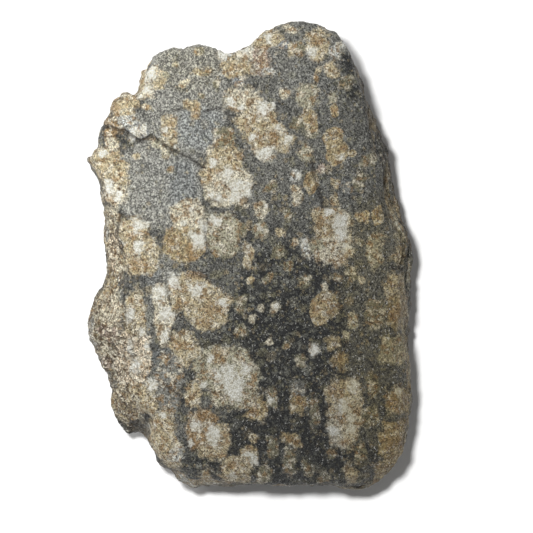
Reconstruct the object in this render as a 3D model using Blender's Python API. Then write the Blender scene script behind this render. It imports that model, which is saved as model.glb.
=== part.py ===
"""Eucrite meteorite: one loose stone with a flat worn face, lying on a flat spot of its underside.

Metres, +Z up. The worn face looks up, the long side runs along Y, and the origin is the middle of the
box's floor. Shapes are worked out in millimetres and scaled once, at the end.
"""

import math

import bmesh
import bpy
from mathutils import Vector, noise
from mathutils.geometry import delaunay_2d_cdt

# Driving dimensions, in millimetres.
WIDTH = 32.4
LENGTH = 46.7
THICKNESS = 13.0
METRES_PER_MM = 0.001

# The edge of the stone seen from straight above, clockwise from its left tip.
OUTLINE = [
    (-16.3, 9.8), (-15.3, 10.7), (-15.0, 11.8), (-14.5, 13.6), (-13.9, 14.8), (-13.2, 15.8),
    (-12.7, 16.2), (-11.5, 16.5), (-11.2, 16.8), (-10.8, 17.7), (-10.7, 18.2), (-9.9, 19.4),
    (-9.4, 20.0), (-8.4, 20.6), (-7.5, 21.1), (-6.6, 20.7), (-5.9, 21.1), (-4.6, 21.0),
    (-3.9, 21.0), (-3.1, 20.6), (-2.2, 20.5), (-1.0, 20.8), (-0.3, 21.1), (0.8, 22.0),
    (1.4, 22.4), (2.2, 22.6), (3.1, 23.0), (4.2, 23.3), (5.3, 23.4), (6.2, 23.3),
    (7.5, 22.9), (8.7, 22.0), (9.6, 21.0), (10.5, 19.2), (11.2, 17.4), (11.7, 15.5),
    (12.5, 13.4), (13.4, 10.6), (14.0, 8.1), (14.6, 5.6), (15.2, 3.4), (15.9, 1.4),
    (16.1, -0.6), (16.1, -2.9), (16.0, -5.4), (15.8, -7.9), (15.8, -10.1), (16.1, -12.9),
    (16.2, -15.4), (15.9, -18.0), (15.4, -19.4), (14.3, -21.1), (13.3, -22.2), (12.0, -22.9),
    (10.5, -23.4), (9.0, -23.2), (7.0, -23.0), (3.0, -22.9), (-0.7, -23.0), (-2.0, -23.1),
    (-4.4, -23.0), (-5.2, -22.7), (-6.2, -22.3), (-8.2, -21.4), (-9.3, -20.5), (-9.5, -19.7),
    (-9.8, -18.9), (-10.8, -17.7), (-11.6, -17.8), (-12.4, -17.9), (-12.8, -17.6), (-13.2, -16.9),
    (-13.6, -15.9), (-13.9, -14.7), (-14.0, -13.1), (-14.5, -11.5), (-14.9, -11.1), (-15.2, -10.4),
    (-15.9, -8.7), (-16.3, -7.5), (-15.9, -6.0), (-15.8, -4.7), (-15.2, -3.5), (-14.4, -1.9),
    (-14.5, 0.4), (-14.6, 2.5), (-14.3, 3.5), (-14.6, 5.2), (-15.2, 7.3), (-15.7, 8.6),
]

# Around the stone, by compass angle in degrees from +X: how far inside the edge the worn face ends,
# how round the flank is there (0 a chamfer, 1 a quarter ellipse), the height of the widest line, and
# how far inside the edge the flank turns into the underside.
FLANKS = [
    (0, 2.0, 0.75, 6.0, 3.2),
    (20, 2.4, 0.60, 5.5, 3.4),
    (45, 2.1, 0.55, 5.5, 3.2),
    (58, 1.2, 0.60, 6.5, 3.0),
    (70, 0.6, 0.70, 7.5, 2.8),
    (85, 0.5, 0.80, 8.0, 2.6),
    (100, 0.4, 0.80, 8.5, 2.8),
    (115, 0.5, 0.80, 9.0, 3.0),
    (130, 0.7, 0.80, 9.0, 3.2),
    (149, 0.6, 0.80, 9.0, 3.8),
    (158, 0.7, 0.80, 8.0, 3.2),
    (168, 1.5, 0.70, 6.0, 2.6),
    (180, 1.9, 0.60, 5.5, 2.4),
    (193, 2.9, 0.70, 5.5, 2.6),
    (204, 3.6, 0.80, 6.0, 3.0),
    (216, 3.4, 0.70, 5.5, 2.8),
    (225, 3.9, 0.60, 5.0, 2.6),
    (234, 3.6, 0.60, 4.5, 2.4),
    (241, 1.8, 0.70, 5.0, 2.2),
    (250, 1.4, 0.80, 6.0, 2.8),
    (270, 1.5, 0.85, 6.5, 3.0),
    (290, 1.8, 0.85, 6.5, 3.2),
    (305, 2.4, 0.90, 6.0, 3.6),
    (330, 2.2, 0.85, 6.0, 3.4),
]

# The ledge that crosses the upper left of the face: its upper side stands proud by the third value.
LEDGE = [
    (-15.4, 13.5, 0.50), (-14.5, 13.1, 0.55), (-12.3, 12.3, 0.60), (-10.9, 11.4, 0.60),
    (-9.8, 12.0, 0.55), (-9.2, 11.5, 0.45), (-8.4, 10.9, 0.35), (-7.5, 10.4, 0.22), (-5.7, 9.6, 0.0),
]
LEDGE_HALF_SLOPE = 0.18
LEDGE_REACH = 6.5

# The groove where the face breaks off along the left side: each point's third value is its depth.
GROOVE = [
    (-12.8, 4.1, 0.15), (-13.2, 2.8, 0.40), (-13.4, 1.6, 0.45), (-12.6, 0.6, 0.45),
    (-12.6, -0.7, 0.40), (-12.5, -2.0, 0.15),
]
GROOVE_HALF_WIDTH = 0.6

# Forms that show from a step away: middle, radius and how far each stands out (or, below 0, in).
FORMS = [
    ((-14.6, -6.4, 8.0), 2.6, 0.45),
    ((-13.6, -4.0, 9.5), 1.5, -0.30),
    ((-13.0, -9.8, 9.5), 1.3, -0.35),
    ((-12.2, -12.6, 9.5), 2.4, 0.45),
    ((-11.6, -15.2, 9.0), 1.3, 0.30),
    ((-11.0, -16.9, 8.5), 1.5, -0.90),
    ((-9.0, -19.0, 10.5), 1.8, 0.30),
    ((-15.2, 9.4, 11.0), 1.6, 0.25),
    ((-12.3, 15.4, 12.0), 1.5, 0.20),
    ((-6.6, 20.8, 10.0), 1.0, -0.45),
    ((14.6, 3.0, 9.0), 1.6, -0.25),
    ((13.4, 8.0, 9.5), 1.8, 0.20),
    ((15.3, -12.0, 10.0), 1.8, 0.20),
    ((15.8, -7.8, 8.0), 1.6, -0.25),
    ((2.0, -22.6, 8.5), 2.0, -0.25),
    ((10.6, -22.6, 8.0), 2.2, 0.25),
]

# Old breaks that cut the lower flanks flat: compass angle, slope below the horizon, and depth of the cut.
BREAKS = [
    (8, 38, 1.3), (40, 22, 0.9), (58, 50, 2.0), (84, 30, 1.1), (104, 48, 1.6), (128, 18, 0.8),
    (146, 42, 1.9), (176, 28, 0.9), (197, 55, 1.7), (222, 24, 1.0), (243, 46, 1.8), (266, 32, 0.9),
    (287, 52, 1.6), (312, 26, 1.2), (338, 48, 1.8), (20, 74, 0.7), (135, 77, 0.6), (255, 75, 0.6),
]
BREAK_FLATNESS = 0.85

# Clasts that weather out of the flanks and the underside, and the pits between them: a run of lumps,
# then a run of pits, and so on round and up the stone.
WEATHERING_SPOTS = 90
LUMP_RUN = 3
PIT_RUN = 2
SPOT_HEIGHTS = (0.5, 10.5)
SPOT_SIZE_TURN = 2.399
INWARD_NEAR_FACE = 0.3
LUMP_RADII = (1.2, 2.8)
LUMP_HEIGHT = 0.24
PIT_RADII = (1.0, 1.8)
PIT_DEPTH = 0.42
FULL_HEIGHT_SHARE = 0.45

# Ridges that run along the right flank, parallel to the edge of the face.
RIDGE_ANGLES = (-15.0, 62.0)
RIDGE_FADE = 12.0
RIDGE_PITCH = 2.3
RIDGE_HEIGHT = 0.14
RIDGE_START = (4.0, 6.5)
RIDGE_WANDER = 0.35
RIDGE_WANDER_LENGTH = 5.0

# The worn face, measured from the top of the stone downwards.
FACE_CROWN = 0.35
RIGHT_DIP_FROM = 11.5
RIGHT_DIP = 0.075
BOTTOM_DIP_FROM = -16.0
BOTTOM_DIP = 0.035
FACE_WAVE = 0.10
FACE_WAVE_LENGTH = 7.0
FACE_WAVE_LEVEL = 3.0

# The underside: a flat spot to lie on, then a shallow rise to the flanks. Each wave on the flat spot's
# rim is a number of lobes, a phase and a strength.
FLAT_SPOT = 0.52
FLAT_SPOT_WOBBLE = 0.05
FLAT_SPOT_WAVES = [(2.0, 0.7, 1.0), (5.0, 0.0, 0.6)]
UNDERSIDE_RISE = 1.7
UNDERSIDE_CURVE = 1.6
LOWEST_ROUGH = 0.05

# Rough flanks: lumps that mostly bite inwards, and a finer grit. The widest line wanders up and down,
# and the roughness fades towards it over CALM_BANDS, so that the edge seen from above stays true. The
# outline is eased below that line, over EASED_STATIONS each way.
CALM_BANDS = 2.5
FLANK_LUMPINESS = 0.62
FLANK_LUMP_LENGTH = 3.6
FLANK_INWARD_BIAS = 0.25
FLANK_GRIT = 0.17
FLANK_GRIT_LENGTH = 1.4
GRIT_SHIFT = Vector((9.0, 4.0, 2.0))
WIDEST_WANDER = 1.3
WIDEST_WANDER_LENGTH = 8.0
EASED_STATIONS = 5
EASED_BY = 0.6

# How finely the solid is faceted. Points on a cap are nudged off their honeycomb, and keep a gap from
# the loops, given as a share of their spacing.
STATIONS = 172
UPPER_BANDS = 7
LOWER_BANDS = 6
FACE_SPACING = 0.98
UNDERSIDE_SPACING = 1.25
NUDGE_SHARE = 0.25
NUDGE_FREQUENCY = 1.7
GAP_SHARE = 0.62
FLAT_SPOT_STATIONS = 44
LEDGE_STEP = 0.7
LEDGE_RIM_GAP = 0.3
SAME_POINT = 0.01
SHARP_ANGLE = 40.0

STONE_COLOR = (0.19, 0.175, 0.15, 1.0)
STONE_ROUGHNESS = 0.72


def clear_scene():
    for found in list(bpy.data.objects):
        bpy.data.objects.remove(found, do_unlink=True)


def smoothstep(low, high, value):
    share = min(max((value - low) / (high - low), 0.0), 1.0)
    return share * share * (3.0 - 2.0 * share)


def blend(first, second, share):
    return first + (second - first) * share


def compass(point):
    return math.degrees(math.atan2(point[1], point[0])) % 360.0


def spline_loop(points, steps=12):
    """A closed Catmull-Rom curve through the points."""
    count = len(points)
    curve = []
    for index in range(count):
        a, b, c, d = (Vector(points[(index + shift) % count]) for shift in (-1, 0, 1, 2))
        for step in range(steps):
            t = step / steps
            curve.append(
                0.5
                * (
                    2.0 * b
                    + (c - a) * t
                    + (2.0 * a - 5.0 * b + 4.0 * c - d) * t * t
                    + (3.0 * b - 3.0 * c + d - a) * t * t * t
                )
            )
    return curve


def evenly_spaced(curve, count):
    """Points the same distance apart along a closed curve."""
    closed = curve + curve[:1]
    lengths = [0.0]
    for first, second in zip(closed, closed[1:]):
        lengths.append(lengths[-1] + (second - first).length)
    points = []
    segment = 0
    for index in range(count):
        wanted = lengths[-1] * index / count
        while lengths[segment + 1] < wanted:
            segment += 1
        share = (wanted - lengths[segment]) / (lengths[segment + 1] - lengths[segment])
        points.append(closed[segment].lerp(closed[segment + 1], share))
    return points


def flank_at(angle):
    """Inset, roundness, widest height and foot inset at a compass angle, eased between the rows."""
    for row, following in zip(FLANKS, FLANKS[1:] + [(360 + FLANKS[0][0],) + FLANKS[0][1:]]):
        if row[0] <= angle <= following[0]:
            share = smoothstep(row[0], following[0], angle)
            return [blend(low, high, share) for low, high in zip(row[1:], following[1:])]
    return list(FLANKS[0][1:])


def nearest_on(line, x, y):
    """Distance to a line of (x, y, value) points, which side the place is on, and the line's value."""
    found = (1e9, 1.0, 0.0)
    place = Vector((x, y))
    for first, second in zip(line, line[1:]):
        start = Vector(first[:2])
        along = Vector(second[:2]) - start
        share = min(max((place - start).dot(along) / along.length_squared, 0.0), 1.0)
        away = place - (start + along * share)
        if away.length < found[0]:
            side = 1.0 if along.x * away.y - along.y * away.x > 0.0 else -1.0
            found = (away.length, side, blend(first[2], second[2], share))
    return found


def ledge_height(x, y):
    distance, side, height = nearest_on(LEDGE, x, y)
    rise = smoothstep(-LEDGE_HALF_SLOPE, LEDGE_HALF_SLOPE, side * distance)
    return height * rise * math.exp(-distance / LEDGE_REACH)


def groove_depth(x, y):
    distance, _, depth = nearest_on(GROOVE, x, y)
    return depth * (1.0 - smoothstep(0.0, GROOVE_HALF_WIDTH, distance))


def face_height(x, y):
    """Height of the worn face: nearly flat, crowned, and dipping to the right and the near end."""
    height = THICKNESS - FACE_CROWN * ((2.0 * x / WIDTH) ** 2 + (2.0 * y / LENGTH) ** 2)
    height -= RIGHT_DIP * max(x - RIGHT_DIP_FROM, 0.0) ** 2
    height -= BOTTOM_DIP * max(BOTTOM_DIP_FROM - y, 0.0) ** 2
    wave = noise.noise(Vector((x, y, FACE_WAVE_LEVEL)) / FACE_WAVE_LENGTH)
    return height + FACE_WAVE * wave + ledge_height(x, y) - groove_depth(x, y)


def flank_loops(edge):
    """Loops of points from the edge of the worn face, over the widest line, to the underside."""
    rows = []
    count = len(edge)
    for index, point in enumerate(edge):
        inset, bow, widest, foot = flank_at(compass(point))
        widest += WIDEST_WANDER * noise.noise(Vector((point.x, point.y, 0.0)) / WIDEST_WANDER_LENGTH)
        radius = point.length
        reach = range(-EASED_STATIONS, EASED_STATIONS + 1)
        around = [edge[(index + shift) % count].length for shift in reach]
        eased_radius = sum(around) / len(around)
        direction = point / radius
        rim = direction * (radius - inset)
        rim_height = face_height(rim.x, rim.y)
        row = []
        for band in range(UPPER_BANDS + 1):
            share = band / UPPER_BANDS
            turn = share * math.pi / 2.0
            out = blend(share, math.sin(turn), bow)
            down = blend(share, 1.0 - math.cos(turn), bow)
            place = direction * (radius - inset * (1.0 - out))
            row.append(Vector((place.x, place.y, blend(rim_height, widest, down))))
        for band in range(1, LOWER_BANDS + 1):
            share = band / LOWER_BANDS
            turn = share * math.pi / 2.0
            eased = blend(radius, eased_radius, smoothstep(0.0, EASED_BY, share))
            place = direction * (eased - foot * (1.0 - math.cos(turn)))
            height = blend(widest, UNDERSIDE_RISE, math.sin(turn))
            row.append(Vector((place.x, place.y, height)))
        rows.append(row)
    return [list(loop) for loop in zip(*rows)]


def inside_loop(loop, x, y):
    inside = False
    for first, second in zip(loop, loop[1:] + loop[:1]):
        if (first.y > y) != (second.y > y):
            crossing = first.x + (y - first.y) / (second.y - first.y) * (second.x - first.x)
            if x < crossing:
                inside = not inside
    return inside


def clear_of(points, x, y, gap):
    return all((point.x - x) ** 2 + (point.y - y) ** 2 > gap * gap for point in points)


def scattered(loop, spacing, keep_clear):
    """Points in a honeycomb pattern inside a loop, each nudged a little so that no row shows."""
    row_height = spacing * math.sqrt(3.0) / 2.0
    points = []
    for row in range(-int(LENGTH / row_height), int(LENGTH / row_height)):
        for column in range(-int(WIDTH / spacing), int(WIDTH / spacing)):
            x = (column + 0.5 * (row % 2)) * spacing
            y = row * row_height
            nudge = noise.noise_vector(Vector((x, y, spacing)) * NUDGE_FREQUENCY)
            x += nudge.x * spacing * NUDGE_SHARE
            y += nudge.y * spacing * NUDGE_SHARE
            if inside_loop(loop, x, y) and clear_of(keep_clear, x, y, GAP_SHARE * spacing):
                points.append(Vector((x, y)))
    return points


def ledge_points(rim):
    """Pairs of points just above and just below the ledge, so that it stays crisp."""
    points = []
    for first, second in zip(LEDGE, LEDGE[1:]):
        start = Vector(first[:2])
        along = Vector(second[:2]) - start
        across = Vector((-along.y, along.x)).normalized() * LEDGE_HALF_SLOPE
        steps = max(1, round(along.length / LEDGE_STEP))
        for step in range(steps):
            place = start + along * ((step + 0.5) / steps)
            for spot in (place + across, place - across):
                if not inside_loop(rim, spot.x, spot.y):
                    continue
                if clear_of(rim, spot.x, spot.y, LEDGE_RIM_GAP):
                    points.append(spot)
    return points


def add_cap(bm, loop_verts, inner_loops, inner_points, height_at, facing):
    """Closes a loop of vertices with triangles that pass through the inner points."""
    outer = [vert.co.xy for vert in loop_verts]
    flat = outer + [point for loop in inner_loops for point in loop] + inner_points
    edges = []
    start = len(outer)
    for loop in inner_loops:
        edges += [(start + i, start + (i + 1) % len(loop)) for i in range(len(loop))]
        start += len(loop)
    corners, _, faces, sources, _, _ = delaunay_2d_cdt(
        flat, edges, [list(range(len(outer)))], 1, 1e-6
    )
    verts = []
    for corner, source in zip(corners, sources):
        if source and source[0] < len(outer):
            verts.append(loop_verts[source[0]])
        else:
            verts.append(bm.verts.new((corner.x, corner.y, height_at(corner.x, corner.y))))
    for face in faces:
        made = bm.faces.new([verts[index] for index in face])
        made.normal_update()
        if made.normal.z * facing < 0.0:
            made.normal_flip()


def underside_height(foot_loop, spot_loop):
    """Height of the underside: nothing on the flat spot, then rising to the foot of the flank."""

    def radius_at(loop, angle):
        return min(loop, key=lambda point: abs((compass(point) - angle + 180.0) % 360.0 - 180.0)).length

    def height(x, y):
        on_rim = not clear_of(spot_loop, x, y, SAME_POINT)
        if on_rim or inside_loop(spot_loop, x, y):
            return 0.0
        angle = compass((x, y))
        inner = radius_at(spot_loop, angle)
        outer = radius_at(foot_loop, angle)
        share = min(max((math.hypot(x, y) - inner) / (outer - inner), 0.0), 1.0)
        return UNDERSIDE_RISE * share**UNDERSIDE_CURVE

    return height


def flat_spot_loop(foot_loop):
    """The rim of the flat spot: a smaller and rounder copy of the foot of the flank."""
    curve = []
    for point in foot_loop:
        turn = math.radians(compass(point))
        wave = sum(strength * math.sin(lobes * turn + phase) for lobes, phase, strength in FLAT_SPOT_WAVES)
        curve.append(Vector((point.x, point.y)) * (FLAT_SPOT + FLAT_SPOT_WOBBLE * wave))
    return evenly_spaced(curve, FLAT_SPOT_STATIONS)


def weathering_spots(edge):
    """(middle, radius, height) of the lumps and pits on the flanks and the underside."""
    spots = []
    golden = math.pi * (3.0 - math.sqrt(5.0))
    for index in range(WEATHERING_SPOTS):
        angle = math.degrees(index * golden) % 360.0
        point = min(edge, key=lambda spot: abs((compass(spot) - angle + 180.0) % 360.0 - 180.0))
        height = blend(*SPOT_HEIGHTS, (index + 0.5) / WEATHERING_SPOTS)
        _, _, widest, foot = flank_at(angle)
        if height < widest:
            inward = foot * (1.0 - math.sqrt(max(0.0, 1.0 - ((widest - height) / widest) ** 2)))
        else:
            inward = INWARD_NEAR_FACE
        place = point * (1.0 - inward / point.length)
        size = 0.5 + 0.5 * math.sin(index * SPOT_SIZE_TURN)
        if index % (LUMP_RUN + PIT_RUN) < LUMP_RUN:
            spots.append((Vector((place.x, place.y, height)), blend(*LUMP_RADII, size), LUMP_HEIGHT))
        else:
            spots.append((Vector((place.x, place.y, height)), blend(*PIT_RADII, size), -PIT_DEPTH))
    return spots


def cut_breaks(bm, lower_verts):
    """Presses the lower flanks flat wherever they stand beyond one of the old breaks."""
    for angle, slope, depth in BREAKS:
        turn, tilt = math.radians(angle), math.radians(slope)
        level = math.cos(tilt)
        facing = Vector((math.cos(turn) * level, math.sin(turn) * level, -math.sin(tilt)))
        limit = max(vert.co.dot(facing) for vert in bm.verts) - depth
        for vert in lower_verts:
            beyond = vert.co.dot(facing) - limit
            if beyond > 0.0:
                vert.co -= facing * beyond * BREAK_FLATNESS


def roughen(bm, edge, roughness):
    """Pushes each vertex in or out along its normal, by the forms and by its share of the roughness."""
    bm.normal_update()
    spots = weathering_spots(edge)
    forms = [(Vector(middle), radius, height) for middle, radius, height in FORMS]
    moves = {}
    for vert, rough in roughness.items():
        push = sum(
            height * (1.0 - smoothstep(0.0, radius, (vert.co - middle).length))
            for middle, radius, height in forms
        )
        if rough > 0.0:
            lumps = noise.noise(vert.co / FLANK_LUMP_LENGTH) - FLANK_INWARD_BIAS
            push += rough * FLANK_LUMPINESS * lumps
            push += rough * FLANK_GRIT * noise.noise(vert.co / FLANK_GRIT_LENGTH + GRIT_SHIFT)
            for middle, radius, height in spots:
                near = smoothstep(FULL_HEIGHT_SHARE * radius, radius, (vert.co - middle).length)
                push += rough * height * (1.0 - near)
            push += rough * ridge_push(vert.co)
        moves[vert] = vert.normal * push
    for vert, move in moves.items():
        vert.co += move
        vert.co.z = max(vert.co.z, LOWEST_ROUGH)


def ridge_push(place):
    angle = (compass(place) + 180.0) % 360.0 - 180.0
    low, high = RIDGE_ANGLES
    start = smoothstep(low, low + RIDGE_FADE, angle)
    end = 1.0 - smoothstep(high - RIDGE_FADE, high, angle)
    wander = RIDGE_WANDER * noise.noise(place / RIDGE_WANDER_LENGTH)
    wave = math.sin(2.0 * math.pi * (place.z / RIDGE_PITCH + wander))
    return RIDGE_HEIGHT * start * end * smoothstep(*RIDGE_START, place.z) * wave


def fit_to_box(bm):
    """Scales the finished stone to the driving dimensions, with its box's floor centred on the origin."""
    low = Vector([min(vert.co[axis] for vert in bm.verts) for axis in range(3)])
    high = Vector([max(vert.co[axis] for vert in bm.verts) for axis in range(3)])
    wanted = Vector((WIDTH, LENGTH, THICKNESS))
    middle = (low + high) / 2.0
    for vert in bm.verts:
        for axis in range(3):
            base = low[axis] if axis == 2 else middle[axis]
            scale = wanted[axis] / (high[axis] - low[axis])
            vert.co[axis] = (vert.co[axis] - base) * scale * METRES_PER_MM


def stone_material():
    material = bpy.data.materials.new("brecciated stone")
    material.use_nodes = True
    shader = material.node_tree.nodes["Principled BSDF"]
    shader.inputs["Base Color"].default_value = STONE_COLOR
    shader.inputs["Roughness"].default_value = STONE_ROUGHNESS
    shader.inputs["Metallic"].default_value = 0.0
    material.diffuse_color = STONE_COLOR
    return material


def make_meteorite():
    edge = evenly_spaced(spline_loop(OUTLINE), STATIONS)
    loops = flank_loops(edge)
    bm = bmesh.new()
    rings = [[bm.verts.new(place) for place in loop] for loop in loops]
    for upper, lower in zip(rings, rings[1:]):
        for index in range(STATIONS):
            following = (index + 1) % STATIONS
            bm.faces.new((upper[index], upper[following], lower[following], lower[index]))

    rim = [place.xy for place in loops[0]]
    foot = [place.xy for place in loops[-1]]
    spot = flat_spot_loop(foot)
    on_ledge = ledge_points(rim)
    on_face = on_ledge + scattered(rim, FACE_SPACING, rim + on_ledge)
    roughness = {}
    for band, ring in enumerate(rings):
        for vert in ring:
            roughness[vert] = min(abs(band - UPPER_BANDS) / CALM_BANDS, 1.0) if band else 0.0
    add_cap(bm, rings[0], [], on_face, face_height, 1.0)
    for vert in bm.verts:
        roughness.setdefault(vert, 0.0)
    below = [
        point
        for point in scattered(foot, UNDERSIDE_SPACING, foot + spot)
        if not inside_loop(spot, point.x, point.y)
    ]
    add_cap(bm, rings[-1], [spot], below, underside_height(foot, spot), -1.0)
    lower_verts = {vert for ring in rings[UPPER_BANDS + 1 :] for vert in ring}
    for vert in bm.verts:
        if vert not in roughness and vert.co.z > 0.0:
            roughness[vert] = 1.0
            lower_verts.add(vert)

    bmesh.ops.recalc_face_normals(bm, faces=bm.faces)
    bmesh.ops.triangulate(bm, faces=bm.faces, quad_method="SHORT_EDGE")
    cut_breaks(bm, lower_verts)
    roughen(bm, edge, roughness)
    fit_to_box(bm)
    bmesh.ops.recalc_face_normals(bm, faces=bm.faces)

    mesh = bpy.data.meshes.new("meteorite")
    bm.to_mesh(mesh)
    bm.free()
    mesh.shade_smooth()
    mesh.set_sharp_from_angle(angle=math.radians(SHARP_ANGLE))
    mesh.materials.append(stone_material())
    stone = bpy.data.objects.new("meteorite", mesh)
    bpy.context.scene.collection.objects.link(stone)
    return stone


clear_scene()
make_meteorite()
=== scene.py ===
import math

import bmesh
import bpy
import numpy as np
from mathutils import Matrix, Vector, noise


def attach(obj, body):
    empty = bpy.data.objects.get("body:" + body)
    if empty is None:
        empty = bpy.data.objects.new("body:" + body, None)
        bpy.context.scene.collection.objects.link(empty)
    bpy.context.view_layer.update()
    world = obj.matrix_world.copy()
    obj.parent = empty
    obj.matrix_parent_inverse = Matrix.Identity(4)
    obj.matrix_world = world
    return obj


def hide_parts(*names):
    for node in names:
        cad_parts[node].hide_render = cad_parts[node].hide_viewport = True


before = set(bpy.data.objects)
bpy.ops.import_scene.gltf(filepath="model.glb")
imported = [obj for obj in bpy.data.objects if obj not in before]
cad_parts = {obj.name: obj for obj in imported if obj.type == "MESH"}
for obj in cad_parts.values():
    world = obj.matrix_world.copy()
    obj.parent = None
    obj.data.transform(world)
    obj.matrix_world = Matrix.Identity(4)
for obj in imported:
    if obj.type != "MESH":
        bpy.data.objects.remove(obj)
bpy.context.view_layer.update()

print("stage 1: frame loaded")


# Small helpers that every stage uses. Shapes are worked out in millimetres.

perMetre = 1000.0


def ease(low, high, value):  # 0 at low, 1 at high and smooth between them
    share = np.clip((value - low) / (high - low), 0.0, 1.0)
    return share * share * (3.0 - 2.0 * share)


def lumps(points, size, seed):
    shifted = points / size + seed
    return np.array([noise.noise(place) for place in shifted.tolist()])


def paint(red, green, blue):  # a colour as a screen shows it, 0 to 255, made linear
    shown = [value / 255.0 for value in (red, green, blue)]
    return tuple(((value + 0.055) / 1.055) ** 2.4 for value in shown) + (1.0,)


def addObject(name, data):
    thing = bpy.data.objects.new(name, data)
    bpy.context.scene.collection.objects.link(thing)
    return thing


# The face map: places on the worn face in tenths of a millimetre, x to the right and y downwards, as
# they are seen from straight above. mapMiddle is the middle of the stone.

mapMiddle = (249.7, 256.2)
mapUnit = 0.1


def fromMap(x, y):
    return (x - mapMiddle[0]) * mapUnit, (mapMiddle[1] - y) * mapUnit


# The light clasts of the face: left, right, top and bottom on the face map, the kind unless it is tan,
# and for some a turn in degrees against the clock. One of an odd shape is given as two or three that
# overlap.

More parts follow.
